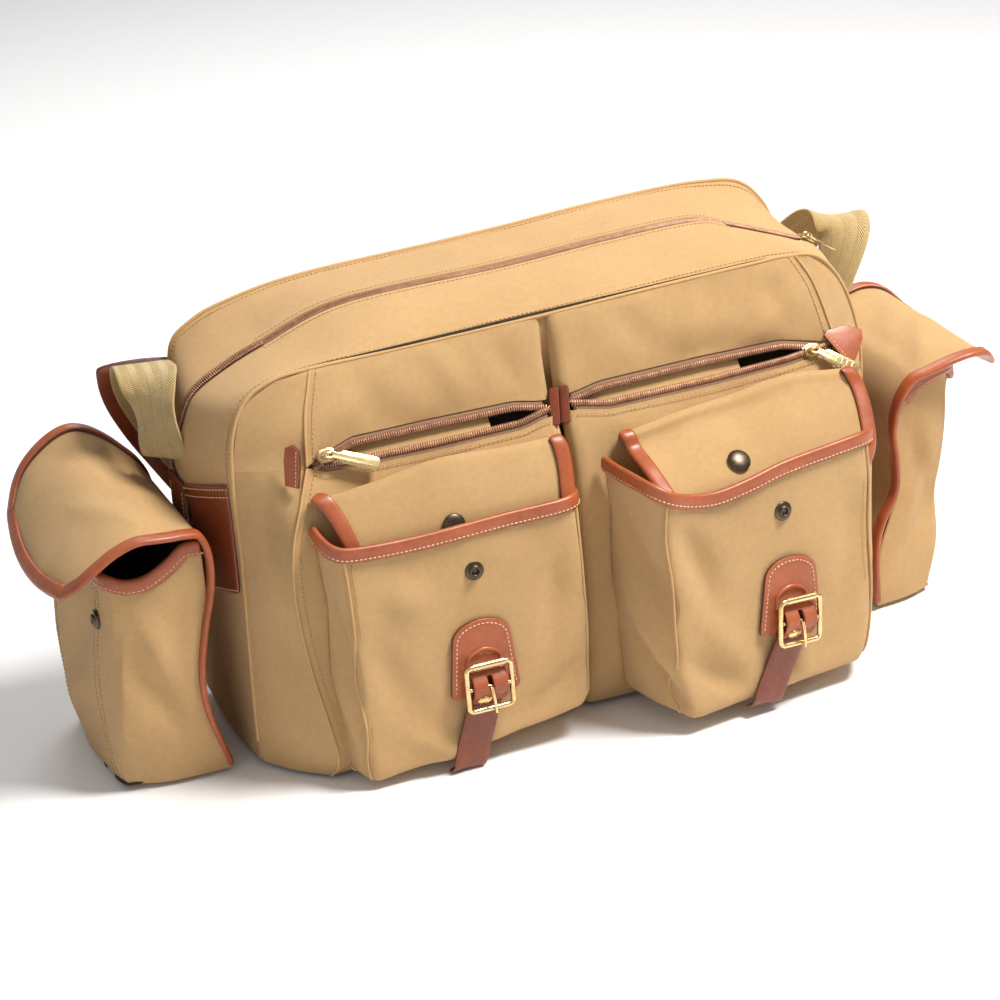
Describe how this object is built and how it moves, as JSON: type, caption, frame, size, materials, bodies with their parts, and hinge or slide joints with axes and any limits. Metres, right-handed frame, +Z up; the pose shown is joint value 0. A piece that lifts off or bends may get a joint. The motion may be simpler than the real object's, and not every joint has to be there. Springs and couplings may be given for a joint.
{
  "type": "canvas field shoulder bag",
  "caption": "Khaki canvas field bag with tan leather trim: zipped main compartment, zipped front pockets, open dump pockets with buckles, end pockets with storm flaps, webbing sling.",
  "frame": {"origin": "on the floor under the middle of the main body, at the centre of the leather base panel's underside", "axes": "+X along the bag towards the right end pocket, -Y out of the front pockets, +Z up"},
  "size_m": [0.6569, 0.2458, 0.2852],
  "materials": {
    "khaki_canvas": "woven cotton canvas, matt",
    "tan_leather": "waxed tan leather, semi-gloss, dark cut edges",
    "dark_leather": "dark red-brown leather, semi-gloss",
    "polished_brass": "polished, light wear",
    "antique_bronze": "dark antique plating, rubbed edges",
    "copper_zip": "coil on pink-brown tape",
    "cotton_webbing": "herringbone webbing, matt",
    "grey_foam": "covered foam board"
  },
  "bodies": {
    "root": {"base_pad": "grey_foam", "base_panel": "tan_leather", "buckle_patch_left": "tan_leather", "buckle_patch_right": "tan_leather", "buckle_strap_left": "tan_leather", "buckle_strap_right": "tan_leather", "dump_pocket_left": "khaki_canvas", "dump_pocket_right": "khaki_canvas", "dump_snap_stud_left": "antique_bronze", "dump_snap_stud_right": "antique_bronze", "dump_trim_left": "tan_leather", "dump_trim_right": "tan_leather", "end_band_left": "dark_leather", "end_band_right": "dark_leather", "end_pocket_left": "khaki_canvas", "end_pocket_right": "khaki_canvas", "end_snap_stud_left": "antique_bronze", "end_snap_stud_right": "antique_bronze", "end_trim_left": "tan_leather", "end_trim_right": "tan_leather", "main_body": "khaki_canvas", "main_zip_end_left": "copper_zip", "main_zip_end_right": "copper_zip", "pocket_zip_left": "copper_zip", "pocket_zip_right": "copper_zip", "shoulder_sling": "cotton_webbing", "sling_pad": "dark_leather", "zip_tab_centre": "tan_leather", "zip_tab_left": "tan_leather", "zip_tab_right": "tan_leather", "zipped_pocket_left": "khaki_canvas", "zipped_pocket_right": "khaki_canvas"},
    "main_slider": {"main_zip_slider": "polished_brass"},
    "main_puller": {"main_zip_puller": "polished_brass"},
    "front_lip": {"top_front_panel": "khaki_canvas", "main_zip_row_front": "copper_zip"},
    "rear_lip": {"top_rear_panel": "khaki_canvas", "main_zip_row_rear": "copper_zip"},
    "pocket_slider_left": {"pocket_zip_slider_left": "polished_brass"},
    "pocket_puller_left": {"pocket_zip_puller_left": "polished_brass"},
    "dump_flap_left": {"dump_flap_left": "khaki_canvas", "dump_flap_binding_left": "tan_leather", "dump_snap_cap_left": "antique_bronze"},
    "end_flap_left": {"end_flap_left": "khaki_canvas", "end_flap_binding_left": "tan_leather", "end_snap_cap_left": "antique_bronze"},
    "buckle_left": {"buckle_frame_left": "polished_brass"},
    "prong_left": {"buckle_prong_left": "polished_brass"},
    "pocket_slider_right": {"pocket_zip_slider_right": "polished_brass"},
    "pocket_puller_right": {"pocket_zip_puller_right": "polished_brass"},
    "dump_flap_right": {"dump_flap_right": "khaki_canvas", "dump_flap_binding_right": "tan_leather", "dump_snap_cap_right": "antique_bronze"},
    "end_flap_right": {"end_flap_right": "khaki_canvas", "end_flap_binding_right": "tan_leather", "end_snap_cap_right": "antique_bronze"},
    "buckle_right": {"buckle_frame_right": "polished_brass"},
    "prong_right": {"buckle_prong_right": "polished_brass"}
  },
  "joints": [
    {"name": "main_slide", "type": "slide", "parent": "root", "child": "main_slider", "axis": [-0.8215, 0, 0.5703], "range_m": [0, 0.0487]},
    {"name": "main_puller_hinge", "type": "hinge", "parent": "main_slider", "child": "main_puller", "pos_m": [0.21743, 0, 0.25649], "axis": [0, -1, 0], "range_deg": [0, 150]},
    {"name": "front_lip_hinge", "type": "hinge", "parent": "root", "child": "front_lip", "pos_m": [0, -0.052, 0.26544], "axis": [0.9996, 0, 0.0293], "range_deg": [0, 76]},
    {"name": "rear_lip_hinge", "type": "hinge", "parent": "root", "child": "rear_lip", "pos_m": [0, 0.056, 0.2795], "axis": [-0.9995, 0, -0.0326], "range_deg": [0, 76]},
    {"name": "pocket_slide_left", "type": "slide", "parent": "root", "child": "pocket_slider_left", "axis": [1, 0, 0], "range_m": [0, 0.13]},
    {"name": "pocket_puller_hinge_left", "type": "hinge", "parent": "pocket_slider_left", "child": "pocket_puller_left", "pos_m": [-0.155, -0.0837, 0.21174], "axis": [-0.4067, -0.5549, -0.7257], "range_deg": [0, 140]},
    {"name": "pocket_slide_right", "type": "slide", "parent": "root", "child": "pocket_slider_right", "axis": [-1, 0, 0], "range_m": [0, 0.143]},
    {"name": "pocket_puller_hinge_right", "type": "hinge", "parent": "pocket_slider_right", "child": "pocket_puller_right", "pos_m": [0.176, -0.0837, 0.21174], "axis": [-0.6157, -0.4787, -0.626], "range_deg": [0, 140]},
    {"name": "dump_flap_hinge_left", "type": "hinge", "parent": "root", "child": "dump_flap_left", "pos_m": [-0.085, -0.1045, 0.192], "axis": [-1, 0, 0], "range_deg": [0, 6]},
    {"name": "dump_flap_hinge_right", "type": "hinge", "parent": "root", "child": "dump_flap_right", "pos_m": [0.112, -0.1045, 0.192], "axis": [-1, 0, 0], "range_deg": [0, 10]},
    {"name": "end_flap_hinge_left", "type": "hinge", "parent": "root", "child": "end_flap_left", "pos_m": [-0.238, 0, 0.176], "axis": [0, 1, 0], "range_deg": [-18, 20]},
    {"name": "end_flap_hinge_right", "type": "hinge", "parent": "root", "child": "end_flap_right", "pos_m": [0.25, 0, 0.168], "axis": [0, -1, 0], "range_deg": [-15, 20]},
    {"name": "buckle_hinge_left", "type": "hinge", "parent": "root", "child": "buckle_left", "pos_m": [-0.08, -0.13381, 0.05745], "axis": [1, 0, 0], "range_deg": [-8, 8]},
    {"name": "prong_hinge_left", "type": "hinge", "parent": "buckle_left", "child": "prong_left", "pos_m": [-0.08, -0.13381, 0.05745], "axis": [-1, 0, 0], "range_deg": [0, 100]},
    {"name": "buckle_hinge_right", "type": "hinge", "parent": "root", "child": "buckle_right", "pos_m": [0.12415, -0.15589, 0.06155], "axis": [0.9914, 0.1112, -0.0697], "range_deg": [-8, 8]},
    {"name": "prong_hinge_right", "type": "hinge", "parent": "buckle_right", "child": "prong_right", "pos_m": [0.12415, -0.15589, 0.06155], "axis": [-0.9914, -0.1112, 0.0697], "range_deg": [0, 100]}
  ],
  "couplings": [
    {"joint": "front_lip_hinge", "follows": "main_slide", "rad_per_m": 27.06},
    {"joint": "rear_lip_hinge", "follows": "main_slide", "rad_per_m": 27.06}
  ]
}
